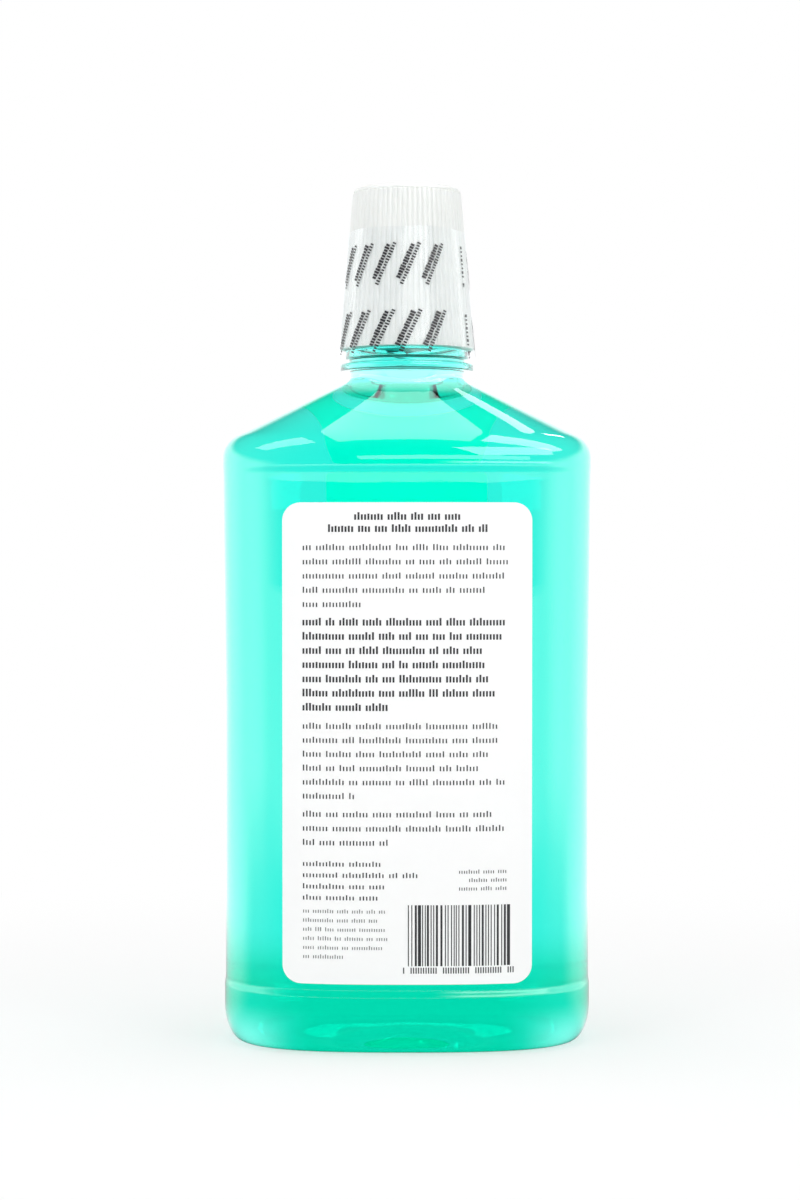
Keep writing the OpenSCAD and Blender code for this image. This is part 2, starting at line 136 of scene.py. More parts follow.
class CapSizes(bpy.types.PropertyGroup):
    """Sizes of the outer cap and the neckband."""

    low_z: length("Cap foot", "Lower edge of the cap", 177.5)
    top_z: length("Cap top", "Top of the cap", 218.7)
    roof_z: length("Roof height", "Underside of the cap's top", 217.5)
    low_r: length("Cap radius", "Radius over the ribs at the lower edge", 17.27)
    wall: length("Cap wall", "Wall under the ribs", 0.75)
    edge: length("Edge radius", "Radius of the rounded edge of the top", 1)
    rib_h: length("Rib height", "Height of the ribs", 0.3)
    bead_z: length("Bead height", "Height of the snap bead", 178.9)
    bead_h: length("Bead size", "Height of the bead along the wall", 0.6)
    bead_r: length("Bead radius", "Inner radius at the snap bead", 15.35)
    lug_l: length("Lug length", "Length of a driving lug", 3.4)
    lug_w: length("Lug width", "Width of a driving lug", 2)
    lug_z: length("Lug height", "Lower end of the cap's driving lugs", 216.1)
    lug_end_r: length("Lug radius", "Outer radius of the driving lugs", 9.85)
    film_z: length("Film foot", "Lower edge of the neckband", 175.2)
    film_top_z: length("Film top", "Upper edge of the neckband", 207.7)
    film_t: length("Film thickness", "Thickness of the neckband", 0.1)
    film_gap: length("Film gap", "Gap between the film and the ribs", 0.1)
    taper: number("Taper", "Radius lost for each unit of height", 0.082, 0, 0.2)
    ribs: whole("Ribs", "Number of ribs round the cap", 68, 12, 120)
    lugs: whole("Lugs", "Number of driving lugs", 8, 2, 16)
    tear_deg: number("Tear line", "Its direction from the back label, in degrees", 53, -360, 360)


class LabelSizes(bpy.types.PropertyGroup):
    """Sizes of the two labels and their print."""

    back_w: length("Back label width", "Width of the back label", 62.2)
    front_w: length("Front label width", "Width of the front label", 38.4)
    low_z: length("Label foot", "Lower edge of both labels", 17.8)
    back_top_z: length("Back label top", "Upper edge of the back label", 137.6)
    front_top_z: length("Front label top", "Upper edge of the front label", 149.5)
    corner: length("Label corner", "Corner radius of both labels", 4.5)
    gap: length("Label gap", "Gap between a label and the bottle", 0.08)
    thick: length("Label thickness", "Thickness of both labels", 0.12)


class Finishes(bpy.types.PropertyGroup):
    """Colours of the finishes."""

    liquid_depth: colour("Liquid", "What the liquid lets through", (0.0, 0.985, 0.975))
    label: colour("Label", "Colour of the labels", (0.93, 0.93, 0.93))
    # Painted light: the labels' inner sides in the colour of light through the liquid, which also
    # glow
    label_inside: colour("Label inside", "Inner sides of the labels", (0.002, 0.87, 0.79))
    ink: colour("Ink", "Colour of the print", (0.012, 0.012, 0.014))
    wet_plastic: colour("Wet plastic", "Wall with liquid behind it", (1.0, 0.99, 0.84))
    # Painted light and shade: the base's darker shade, the neck's light in the liquid's colour, and
    # the glow of the base's corners and the neck's foot
    base_painted_shade: colour("Thick base", "Base, seen through much liquid", (0.05, 0.77, 0.5))
    neck_painted_light: colour("Thick neck", "Neck, lit from the liquid", (0.35, 1.0, 0.9))
    painted_glow: colour("Gathered light", "Glow of corners and neck foot", (0.27, 0.3, 0.33))
    cap: colour("Cap", "Colour of the outer cap", (0.83, 0.85, 0.83))
    cup: colour("Dosing cup", "Colour of the dosing cup", (0.86, 0.88, 0.87))
    seal: colour("Seal", "Colour of the sealing ring", (0.86, 0.85, 0.80))
    floor: colour("Floor", "Colour of the studio floor", (0.92, 0.92, 0.92))
    liquid_density: number("Liquid density", "Light taken up, per metre", 66, 0, 1000)


def sizes(group):
    return getattr(bpy.context.scene, group)


# Shader maths


class Value:
    """A socket whose arithmetic adds Math nodes."""

    def __init__(self, graph, socket):
        self.graph = graph
        self.socket = socket

    def math(self, operation, *others):
        return self.graph.maths(operation, self, *others)

    def __add__(self, other):
        return self.math("ADD", other)

    def __sub__(self, other):
        return self.math("SUBTRACT", other)

    def __mul__(self, other):
        return self.math("MULTIPLY", other)

    def __rsub__(self, other):
        return self.graph.maths("SUBTRACT", other, self)

    __radd__, __rmul__ = __add__, __mul__

    def between(self, low, high, start=0.0, end=1.0):
        """Runs from start at low to end at high, smoothly."""
        return self.graph.node(
            "ShaderNodeMapRange",
            {"interpolation_type": "SMOOTHSTEP"},
            {"Value": self, "From Min": low, "From Max": high, "To Min": start, "To Max": end},
        )

    def within(self, rise, fall):
        """1 between a rise and a fall and 0 outside. Each runs between two values."""
        return self.between(*rise) * self.between(*fall, 1.0, 0.0)


class Graph:
    """The node tree of a material or of the world."""

    def __init__(self, owner):
        owner.use_nodes = True
        self.tree = owner.node_tree
        self.tree.nodes.clear()

    def node(self, kind, settings=None, values=None, output=0):
        """Adds a node, makes its settings, then fills or links its sockets."""
        made = self.tree.nodes.new(kind)
        for key, setting in (settings or {}).items():
            setattr(made, key, setting)
        for key, value in (values or {}).items():
            if isinstance(value, Value):
                self.tree.links.new(value.socket, made.inputs[key])
            else:
                made.inputs[key].default_value = value
        return Value(self, made.outputs[output])

    def maths(self, operation, *values):
        return self.node("ShaderNodeMath", {"operation": operation}, dict(enumerate(values)))

    def place(self, output="Object"):
        return self.node("ShaderNodeTexCoord", output=output)

    def axis(self, name, vector=None):
        """X, Y or Z of a vector, which is the place on the object unless it is given."""
        return self.node("ShaderNodeSeparateXYZ", None, {0: vector or self.place()}, output=name)

    def ray(self, kind):
        """1 for rays of one kind, else 0."""
        return self.node("ShaderNodeLightPath", output=f"Is {kind} Ray")

    def noise(self, scale, detail, where=None):
        values = {"Vector": where or self.place(), "Scale": scale, "Detail": detail}
        return self.node("ShaderNodeTexNoise", None, values)

    def blend(self, factor, first, second):
        """A colour between two colours."""
        values = {"Factor": factor, 6: first, 7: second}
        return self.node("ShaderNodeMix", {"data_type": "RGBA"}, values, output=2)

    def bump(self, height, distance, strength):
        values = {"Height": height, "Distance": distance, "Strength": strength}
        return self.node("ShaderNodeBump", None, values)

    def end(self, kind="ShaderNodeOutputMaterial", **shaders):
        """Ends the tree in an output node."""
        made = self.tree.nodes.new(kind)
        for name, shader in shaders.items():
            self.tree.links.new(shader.socket, made.inputs[name])

    def plastic(self, values, **others):
        """Ends a material in one Principled shader."""
        self.end(Surface=self.node("ShaderNodeBsdfPrincipled", None, values), **others)


def shade(rgb, factor=1.0):
    return (rgb[0] * factor, rgb[1] * factor, rgb[2] * factor, 1.0)


def new_material(name):
    """A new material, its node tree and the colours of all finishes."""
    material = bpy.data.materials.new(name)
    return material, Graph(material), sizes("bottle_finishes")


def clear_plastic():
    """Blown clear plastic: faint flow waves and a little haze. The wetted wall is tinted. Painted
    shade makes the base darker and greener towards the bottom, painted light gives the dry neck
    the liquid's colour, and a painted glow lights the base's corners and the neck's foot."""
    material, g, looks = new_material("clear_bottle_plastic")
    haze = g.noise(210, 3)
    # Masks by height and by distance from the middle, in metres
    height, side = g.axis("Z"), g.axis("X").math("ABSOLUTE")
    dry = height.between(0.17, 0.1715)
    middle = side.between(0.022, 0.04, 1.0, 0.0)
    above_heel = middle.math("MAXIMUM", height.between(0.003, 0.012))
    # Painted shade: the base darker and greener below about 14 to 27 mm, but not low on the heel at
    # the sides
    base = height.between(0.014, 0.027, 1.0, 0.0) * above_heel
    # Painted light: the dry neck takes the colour of light through the liquid
    neck = height.within((0.1708, 0.1718), (0.1772, 0.1782))
    # Painted glow at the neck's foot and in the corners of the base
    neck_foot_glow = height.within((0.165, 0.168), (0.1712, 0.1718))
    corner = side.between(0.028, 0.044, 0.0, 0.75) * height.between(0.002, 0.012, 1.0, 0.0)
    clear = g.blend(haze, (0.985, 1.0, 0.995, 1), WHITE)
    wall = g.blend(dry, shade(looks.wet_plastic), clear)
    # Painted shade on the base, then painted light on the neck
    wall_and_base_shade = g.blend(base, wall, shade(looks.base_painted_shade))
    values = {
        "Base Color": g.blend(neck, wall_and_base_shade, shade(looks.neck_painted_light)),
        "Roughness": haze.between(0.45, 0.85, 0.0, 0.03),
        "Normal": g.bump(g.noise(55, 1.5), 0.00025, 0.35),
        "IOR": 1.38,
        "Transmission Weight": 1.0,
        "Coat Weight": 1.0,
        "Coat Roughness": 0.0,
        "Coat IOR": 1.35,
        # Painted glow: these parts shine though they are no lamp
        "Emission Color": g.blend(neck_foot_glow + corner, BLACK, shade(looks.painted_glow)),
        "Emission Strength": 1.0,
    }
    g.plastic(values)
    return material


def wetted_wall():
    """Inner face of the wall under the liquid. It bends no light, as the liquid touches it."""
    material, g, _ = new_material("wetted_wall")
    g.end(Surface=g.node("ShaderNodeBsdfTransparent", None, {"Color": WHITE}))
    return material


def liquid():
    """Clear liquid that takes up red light with depth. The bottle's outside does the bending."""
    material, g, looks = new_material("mouthwash_liquid")
    values = {
        "Base Color": g.blend(g.noise(30, 1), (0.99, 1.0, 1.0, 1), WHITE),
        "Roughness": 0.0,
        "IOR": 1.0,
        "Transmission Weight": 1.0,
    }
    depth = {"Color": shade(looks.liquid_depth), "Density": looks.liquid_density}
    g.plastic(values, Volume=g.node("ShaderNodeVolumeAbsorption", None, depth))
    return material


def satin(name, rgb, dim, cloud, rough, grain, relief, under=None):
    """A satin finish: its colour, down to dim, and its roughness drift in clouds of one scale, and
    a grain of another gives a relief of some distance and strength. under holds the weight, scale
    and radius of the light that goes in under the surface."""
    material, g, looks = new_material(name)
    patch = g.noise(cloud, 3)
    values = {
        "Base Color": g.blend(patch, shade(getattr(looks, rgb), dim), shade(getattr(looks, rgb))),
        "Roughness": patch.between(0.3, 0.7, *rough),
        "Normal": g.bump(g.noise(grain, 2), *relief),
    }
    if under:
        weight, scale, radius = under
        values["Subsurface Weight"] = weight
        values["Subsurface Scale"] = scale
        values["Subsurface Radius"] = radius
    g.plastic(values)
    return material


def label_film():
    """Satin white label stock with the faint orange-peel of its lacquer."""
    return satin("label_film", "label", 0.985, 40, (0.36, 0.46), 900, (0.00002, 0.3))


def cap_plastic():
    """Satin moulded plastic with a fine spark-eroded grain."""
    under = (0.15, 0.002, (1.0, 0.9, 0.8))
    return satin("cap_plastic", "cap", 0.97, 70, (0.34, 0.46), 2600, (0.00003, 0.35), under)


def cup_plastic():
    """Smoother, slightly translucent plastic of the dosing cup."""
    under = (0.3, 0.003, (1.0, 1.0, 0.95))
    return satin("dosing_cup_plastic", "cup", 0.96, 90, (0.26, 0.36), 160, (0.00006, 0.3), under)


def label_inside():
    """Inner side of a label: painted light in the colour of light through the liquid, with a
    painted glow for what comes through label and bottle.
    """
    material, g, looks = new_material("label_inside")
    patch = g.noise(45, 3)
    tint = looks.label_inside
    values = {
        # Painted light: the liquid's colour on the label's back
        "Base Color": g.blend(patch, shade(tint, 0.94), shade(tint)),
        "Roughness": 0.5,
        # Painted glow on the label's back
        "Emission Color": g.blend(patch, shade(tint, 0.96), shade(tint)),
        "Emission Strength": 0.62,
    }
    g.plastic(values)
    return material


def ink():
    """Dark print whose cover varies slightly."""
    material, g, looks = new_material("print_ink")
    cover = g.noise(1800, 2)
    values = {
        "Base Color": g.blend(cover, shade(looks.ink), shade(looks.ink, 3.5)),
        "Roughness": cover.between(0.3, 0.7, 0.35, 0.5),
    }
    g.plastic(values)
    return material


def seal_foam():
    """Closed-cell foam of the sealing ring."""
    material, g, looks = new_material("seal_foam")
    cells = g.node("ShaderNodeTexVoronoi", None, {"Vector": g.place(), "Scale": 4200.0})
    values = {
        "Base Color": g.blend(cells, shade(looks.seal, 0.9), shade(looks.seal)),
        "Roughness": 0.75,
        "Normal": g.bump(cells, 0.00005, 0.5),
    }
    g.plastic(values)
    return material


def shrink_film():
    """Clear shrunk film with faint upright creases."""
    material, g, _ = new_material("shrink_film")
    upright = {"Vector": g.place(), "Scale": (1.0, 1.0, 0.08)}
    creases = g.noise(520, 2, where=g.node("ShaderNodeMapping", None, upright))
    cloud = g.noise(120, 2)
    gloss = {
        "Color": WHITE,
        "Roughness": cloud.between(0.3, 0.7, 0.05, 0.14),
        "Normal": g.bump(creases, 0.0001, 0.4),
    }
    shine = g.node("ShaderNodeBsdfGlossy", None, gloss)
    open_film = g.node("ShaderNodeBsdfTransparent", None, {"Color": (0.992, 0.997, 1.0, 1)})
    edge_on = g.node("ShaderNodeLayerWeight", None, {"Blend": 0.18}, output="Fresnel")
    share = edge_on * 0.1 + cloud.between(0.4, 0.8, 0.012, 0.03)
    g.end(Surface=g.node("ShaderNodeMixShader", None, {0: share, 1: open_film, 2: shine}))
    return material


# Forms


def touch_angle(r, z, c, zc, corner):
    """Angle at which a line from (r, z) touches the corner circle about (c, zc)."""
    return math.atan2(z - zc, r - c) - math.acos(corner / math.hypot(r - c, z - zc))


def shoulder_half(z, half, corner, zc, neck_top, inset):
    """Half-width of a shoulder profile: upright, round its corner, then a slope to the neck."""
    neck_r = sizes("neck_sizes").neck_r - NECK_LAP
    c = half - corner
    angle = touch_angle(neck_r, neck_top, c, zc, corner)
    radius = corner - inset
    touch_z = zc + radius * math.sin(angle)
    if z <= zc:
        return half - inset
    if z <= touch_z:
        return c + math.sqrt(max(0, radius * radius - (z - zc) ** 2))
    slid = (z - touch_z) / math.cos(angle)
    return max(c + radius * math.cos(angle) - slid * math.sin(angle), neck_r - inset)


def shoulder_half_w(b, z, inset):
    return shoulder_half(z, b.body_w / 2, b.side_corner, b.side_z, b.neck_z, inset)


def shoulder_half_d(b, z, face_d, inset):
    """Half-depth of the shoulder over a face of some depth."""
    return shoulder_half(z, face_d / 2, b.front_corner, b.band_z, b.front_neck_z, inset)


def eased(t):
    t = min(1, max(0, t))
    return t * t * (3 - 2 * t)


def shoulder_squareness(b, z):
    """Squareness of the section, which falls to that of a circle up the shoulder."""
    return b.squareness * (2 / b.squareness) ** eased((z - b.band_z) / (b.front_neck_z - b.band_z))


def panel_half_w(b, z):
    widening = max(0, (z - b.flare_z) / (b.panel_top_z - b.flare_z))
    return b.panel_w / 2 + b.panel_flare / 2 * widening


def upper_step_half_w(b, t):
    """Half-width of the step over the panel, at a share of its height."""
    low_w = panel_half_w(b, b.panel_top_z)
    return low_w + (b.body_w / 2 - low_w) * eased(t)


# Steps from ring to ring over each part of the body, from the push-up to the neck
DOME_STEPS, HEEL_STEPS, FOOT_STEPS, SLOPE_STEPS = 14, 12, 5, 8
PANEL_STEPS, BEND_STEPS, SHOULDER_STEPS = 24, 20, 26


def body_rings(inset):
    """Rings of the blown body from the middle of the base to the neck: half-width, half-depth at
    the back, squareness, height and, where it differs, half-depth at the front, which has no step
    over its panel."""
    b = sizes("bottle_sizes")
    rings = [(0, 0, 2, b.pushup_h + inset)]
    for i in range(1, DOME_STEPS + 1):
        t = i / DOME_STEPS
        lift = b.pushup_h * (1 - t * t)
        rings.append((b.pushup_w / 2 * t, b.pushup_d / 2 * t, 2, lift + inset))
    for i in range(HEEL_STEPS + 1):
        t = math.radians(90 * i / HEEL_STEPS)
        out = b.heel_in - (b.heel_in - inset) * math.sin(t)
        z = b.heel_h - (b.heel_h - inset) * math.cos(t)
        rings.append((b.foot_w / 2 - out, b.foot_d / 2 - out, b.squareness, z))
    for i in range(1, FOOT_STEPS):
        z = b.heel_h + (b.foot_z - b.heel_h) * i / FOOT_STEPS
        rings.append((b.foot_w / 2 - inset, b.foot_d / 2 - inset, b.squareness, z))
    for i in range(SLOPE_STEPS + 1):
        t = i / SLOPE_STEPS
        z = b.foot_z + (b.panel_foot_z - b.foot_z) * t
        half_w = b.foot_w / 2 + (panel_half_w(b, z) - b.foot_w / 2) * eased(t)
        half_d = b.foot_d / 2 + (b.panel_d - b.foot_d) / 2 * eased(t)
        rings.append((half_w - inset, half_d - inset, b.squareness, z))
    front = b.panel_d / 2 - inset
    for i in range(1, PANEL_STEPS):
        z = b.panel_foot_z + (b.panel_top_z - b.panel_foot_z) * i / PANEL_STEPS
        rings.append((panel_half_w(b, z) - inset, front, b.squareness, z))
    for i in range(SLOPE_STEPS + 1):
        t = i / SLOPE_STEPS
        z = b.panel_top_z + (b.band_z - b.panel_top_z) * t
        half_w = upper_step_half_w(b, t)
        half_d = b.panel_d / 2 + (b.body_d - b.panel_d) / 2 * eased(t)
        rings.append((half_w - inset, half_d - inset, b.squareness, z, front))
    bend_z = b.side_z + b.side_corner
    levels = []
    for low, high, steps in (
        (b.band_z, bend_z, BEND_STEPS),
        (bend_z, b.neck_z, SHOULDER_STEPS),
    ):
        levels += [low + (high - low) * i / steps for i in range(1, steps + 1)]
    for z in levels:
        half_w = shoulder_half_w(b, z, inset)
        half_d = shoulder_half_d(b, z, b.body_d, inset)
        front = shoulder_half_d(b, z, b.panel_d, inset)
        rings.append((half_w, half_d, shoulder_squareness(b, z), z, front))
    return rings


def inner_rings(inset):
    """Rings of the body's inside, which stop short of the neck's bore."""
    top_z = sizes("bottle_sizes").neck_z - 0.3 * MM
    return [ring for ring in body_rings(inset) if ring[3] < top_z]


def rounded(outline, radius):
    """An outline of (r, z) points with its corners rounded. A radius of 0 leaves a corner sharp."""
    points = [outline[0]]
    for before, corner, after, r in zip(outline, outline[1:], outline[2:], radius[1:]):
        if r == 0:
            points.append(corner)
            continue
        steps = 4
        a = np.array(before) - np.array(corner)
        b = np.array(after) - np.array(corner)
        a = np.array(corner) + a / np.linalg.norm(a) * r
        b = np.array(corner) + b / np.linalg.norm(b) * r
        for i in range(steps + 1):
            t = i / steps
            p = (1 - t) ** 2 * a + 2 * t * (1 - t) * np.array(corner) + t * t * b
            points.append((float(p[0]), float(p[1])))
    points.append(outline[-1])
    return points


# Modelling


def deselect():
    if bpy.context.object and bpy.context.object.mode != "OBJECT":
        bpy.ops.object.mode_set(mode="OBJECT")
    bpy.ops.object.select_all(action="DESELECT")


def pick(piece):
    """Selects one piece alone and makes it the active one."""
    deselect()
    piece.select_set(True)
    bpy.context.view_layer.objects.active = piece


def edit(piece, action="SELECT"):
    """Goes into edit mode on one piece with all or none of it selected."""
    pick(piece)
    bpy.ops.object.mode_set(mode="EDIT")
    bpy.ops.mesh.select_all(action=action)


def face_out(piece, weld=0.0):
    """Turns the faces outwards, and first joins points that are closer than weld."""
    edit(piece)
    if weld:
        bpy.ops.mesh.remove_doubles(threshold=weld)
    bpy.ops.mesh.normals_make_consistent(inside=False)
    bpy.ops.object.mode_set(mode="OBJECT")


def turn_over(piece):
    """Turns all faces of a sheet to its other side."""
    edit(piece)
    bpy.ops.mesh.flip_normals()
    bpy.ops.object.mode_set(mode="OBJECT")


def apply_modifiers(piece):
    pick(piece)
    for modifier in list(piece.modifiers):
        bpy.ops.object.modifier_apply(modifier=modifier.name)


def thicken(piece, thick):
    """Gives a sheet a thickness, outwards."""
    wall = piece.modifiers.new("thickness", "SOLIDIFY")
    wall.thickness = thick
    wall.offset = 1
    apply_modifiers(piece)


def named(name):
    """Names the piece that was just added, and its mesh."""
    piece = bpy.context.object
    piece.name = name
    piece.data.name = name
    return piece


def sheet_of(name, across, along):
    """A flat grid with the given number of faces each way, one metre square."""
    deselect()
    bpy.ops.mesh.primitive_grid_add(x_subdivisions=across, y_subdivisions=along, size=1)
    return named(name)


def lay(piece, where):
    """Moves each vertex of a flat grid to where(u, v), with u and v from 0 to 1."""
    for vertex in piece.data.vertices:
        vertex.co = where(vertex.co.x + 0.5, vertex.co.y + 0.5)
    piece.data.update()


def rolled(name, rings, around, ring_point, second_from=None):
    """A grid rolled round the axis: ring_point(ring, angle) places each vertex. Its seam and poles
    are closed. Faces from the ring second_from on take the second finish."""
    piece = sheet_of(name, around, len(rings) - 1)
    if second_from is not None:
        for face in piece.data.polygons:
            row = round((face.center.y + 0.5) * (len(rings) - 1) - 0.5)
            face.material_index = int(row >= second_from)

    def where(u, v):
        ring = rings[round(v * (len(rings) - 1))]
        return ring_point(ring, 2 * math.pi * round(u * around) / around)

    lay(piece, where)
    face_out(piece, WELD)
    return piece


def oval_point(ring, angle):
    """A point of a superellipse ring, as body_rings gives them."""
    half_w, half_d, squareness, z, *front = ring
    c, s = math.cos(angle), math.sin(angle)
    if front and s > 0:
        half_d = front[0]
    power = 2 / squareness
    x = half_w * math.copysign(abs(c) ** power, c)
    y = half_d * math.copysign(abs(s) ** power, s)
    return x, y, z


def smooth(piece, degrees=35):
    pick(piece)
    bpy.ops.object.shade_smooth_by_angle(angle=math.radians(degrees))


def dress(piece, material, body, slot, *nodes):
    """Gives a new piece its finish, its body and the packed nodes it stands for. The slot is not
    used.
    """
    piece.data.materials.append(material)
    deselect()
    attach(piece, body)
    if nodes:
        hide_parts(*nodes)


def dress_node(name, material):
    """Gives a packed node a new finish."""
    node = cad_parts[name]
    if not node.material_slots:
        node.data.materials.append(material)
    for held in node.material_slots:
        held.material = material


def surface_y(x, z, out):
    """Depth at x and z of the face that carries a label, moved out by a distance: the panel, and
    the shoulder of the front above it."""
    b = sizes("bottle_sizes")
    half_w = panel_half_w(b, z)
    if z > b.panel_top_z:
        half_w = upper_step_half_w(b, (z - b.panel_top_z) / (b.band_z - b.panel_top_z))
    half_d = shoulder_half_d(b, z, b.panel_d, 0)
    power = shoulder_squareness(b, z)
    return -half_d * (1 - min(1.0, abs(x) / half_w) ** power) ** (1 / power) - out


# Faces round the bottle and its liquid
AROUND = 192


class BOTTLE_OT_blown_bottle(bpy.types.Operator):
    """Build the blown bottle with its neck, flange, collar and bore"""

    bl_idname = "bottle.blown_bottle"
    bl_label = "Blown bottle"

    def execute(self, context):
        b, n = sizes("bottle_sizes"), sizes("neck_sizes")
        outside = body_rings(0)
        neck = [
            (n.neck_r, b.neck_z + NECK_LAP),
            (n.neck_r, n.flange_z),
            (n.flange_r, n.flange_z),
            (n.flange_r, n.groove_z),
            (n.groove_r, n.groove_z),
            (n.groove_r, n.collar_z),
            (n.collar_r, n.collar_z),
            (n.collar_r, n.collar_top_z),
            (n.finish_r, n.collar_top_z),
            (n.finish_r, n.rim_z),
            (n.bore_r, n.rim_z),
            (n.bore_r, n.fill_z),
            (n.bore_r, n.bore_z),
            (n.neck_bore_r, b.neck_z + 0.1 * MM),
        ]
        # How far each corner of that outline is rounded, in mm
        soft = [0, 0.5, 0.5, 0.5, 0.3, 0.3, 0.4, 0.5, 0.5, 0.5, 0.4, 0, 0.7, 0]
        turned = [(r, r, 2, z) for r, z in rounded(neck, [s * MM for s in soft])]
        # The wall is wet from the last ring at the liquid's level on
        last_dry = max(i for i, ring in enumerate(turned) if ring[3] >= n.fill_z - 1e-7)
        rings = outside[:-1] + turned + inner_rings(b.wall)[::-1]
        wet = len(outside) - 1 + last_dry
        piece = rolled("clear_bottle", rings, AROUND, oval_point, second_from=wet)
        smooth(piece)
        dress(piece, clear_plastic(), "filled_bottle", "clear_bottle", "bottle")
        piece.data.materials.append(wetted_wall())
        return {"FINISHED"}


class BOTTLE_OT_liquid(bpy.types.Operator):
    """Fill the bottle up to its neck"""

    bl_idname = "bottle.liquid"
    bl_label = "Mouthwash"

    def execute(self, context):
        b, n = sizes("bottle_sizes"), sizes("neck_sizes")
        gap = 0.03 * MM
        top = (
            (n.neck_bore_r - gap, b.neck_z + 0.1 * MM),
            (n.bore_r - gap, n.bore_z),
            (n.bore_r - gap, n.fill_z + 0.35 * MM),
            (n.bore_r - 0.5 * MM, n.fill_z),
            (n.bore_r - 3 * MM, n.fill_z - 0.1 * MM),
            (0, n.fill_z - 0.1 * MM),
        )
        rings = inner_rings(b.wall + gap) + [(r, r, 2, z) for r, z in top]
        piece = rolled("mouthwash_fill", rings, AROUND, oval_point)
        smooth(piece)
        dress(piece, liquid(), "filled_bottle", "liquid", "mouthwash")
        return {"FINISHED"}


def label_sheet(name, width, low, high, side):
    """A label with round corners on the near face, or on the far one if side is -1."""
    s = sizes("label_sizes")
    columns, rows, corner_rows = 64, 48, 8
    bend = corner_rows / rows
    piece = sheet_of(name, columns, rows)

    def where(u, v):
        rise = high - low
        if v < bend:
            z = low + s.corner * (1 - math.cos(math.pi / 2 * v / bend))
        elif v > 1 - bend:
            z = high - s.corner * (1 - math.cos(math.pi / 2 * (1 - v) / bend))
        else:
            z = low + s.corner + (rise - 2 * s.corner) * (v - bend) / (1 - 2 * bend)
        past = max(0, low + s.corner - z, z - high + s.corner)
        half = width / 2 - s.corner + math.sqrt(max(0, s.corner**2 - past * past))
        x = (2 * u - 1) * half
        return side * x, side * surface_y(x, z, s.gap), z

    lay(piece, where)
    face_out(piece)
    middle = piece.data.polygons[len(piece.data.polygons) // 2]
    if middle.normal.y * side > 0:
        turn_over(piece)
    thicken(piece, s.thick)
    smooth(piece)
    return piece


# Blocks of print on the back label: height of the first line, step down from line to line,
# tallness and boldness of the strokes, and start and end of each line. All but the boldness are
# in mm, from the middle of the label's top edge.
LEFT, RIGHT = -25.8, 24.6
LABEL_BLOCKS = (
    (-3.4, 3, 1.9, 0.62, ((-12.9, 13.6), (-19.4, 20.4))),
    (-11.1, 3.53, 1.5, 0.42, [(LEFT, end) for end in (24.6, 25.1, 23.9, 19.7, -11)]),
    (-29.6, 3.53, 1.9, 0.6, [(LEFT, end) for end in (26.1, 23.6, 18.7, 20.6, 19.9, 21.6, -4.8)]),
    (-55.5, 3.48, 1.5, 0.42, [(LEFT, end) for end in (23.6, 23.1, 20.6, 17.4, 24.6, -13)]),
    (-77.4, 3.53, 1.5, 0.42, [(LEFT, end) for end in (22.1, 24.6, -4.3)]),
    (-89.8, 2.8, 1.3, 0.42, [(LEFT, end) for end in (-6.8, 2.6, -5.8, -7.3)]),
    (-91.7, 2.1, 1.0, 0.38, [(start, RIGHT) for start in (13, 15.5, 13)]),
    (-101.6, 2.27, 1.0, 0.34, [(LEFT, end) for end in (-5.6, -7.5, -5.6, -3.6, -4.8, -15)]),
)


# Strokes in a word of stand-in print, heights of a stroke as shares of its line's tallness, and
# the gap between words as a share of the pitch
WORD_STROKES = (3, 4, 5, 6, 8, 9, 11, 13)
STROKE_SHARES = (0.72, 0.72, 0.72, 1.0, 0.8)
WORD_GAP = 1.1
# Pitch of the strokes in lines that are taller than TALL_LINE and in the others, all in mm
WIDE_PITCH, NARROW_PITCH, TALL_LINE = 0.82, 0.6, 1.2


def strokes(z, start, end, tall, bold, rng):
    """Stroke places of one line of stand-in print: words of short upright bars."""
    pitch = WIDE_PITCH if tall > TALL_LINE else NARROW_PITCH
    x, places = start, []
    while x < end - 1:
        for _ in range(rng.choice(WORD_STROKES)):
            if x > end:
                break
            high = tall * rng.choice(STROKE_SHARES)
            places.append((x, z - tall / 2 + high / 2, bold * pitch, high))
            x += pitch
        x += pitch * WORD_GAP
    return places


def bar_pattern(rng):
    """Bars of unequal width, with a row of short strokes under them."""
    places, x = [], 0.15
    while x < 24.9:
        w = rng.choice((0.26, 0.26, 0.52, 0.78))
        places.append((x + w / 2, -107.6, w, 15.2))
        x += w + rng.choice((0.26, 0.4, 0.6))
    places += [(-0.9 + 0.62 * i, -116.3, 0.3, 1.5) for i in range(45) if i % 13 not in (1, 2)]
    return places


def printed(name, places, where):
    """Bars (x, z, width, height and, where they lean, degrees) in mm, laid on a surface by
    where(x, z). One bar is modelled and copied."""
    deselect()
    bpy.ops.mesh.primitive_plane_add(size=1)
    piece = named(name)
    row = piece.modifiers.new("row", "ARRAY")
    row.count = len(places)
    row.relative_offset_displace = (2, 0, 0)
    apply_modifiers(piece)
    corners = piece.data.vertices
    for face in piece.data.polygons:
        middle = sum(corners[i].co.x for i in face.vertices) / 4
        x, z, w, h, *lean = places[round(middle / 2)]
        turn = math.radians(lean[0]) if lean else 0
        for i in face.vertices:
            across = (corners[i].co.x - middle) * w
            up = corners[i].co.y * h
            px = x + across * math.cos(turn) - up * math.sin(turn)
            pz = z + across * math.sin(turn) + up * math.cos(turn)
            corners[i].co = where(px * MM, pz * MM)
    face_out(piece)
    faces = piece.data.polygons
    inward = [face for face in faces if face.normal.dot((face.center.x, face.center.y, 0)) < 0]
    for face in inward:
        face.flip()
    thicken(piece, INK_T)
    return piece


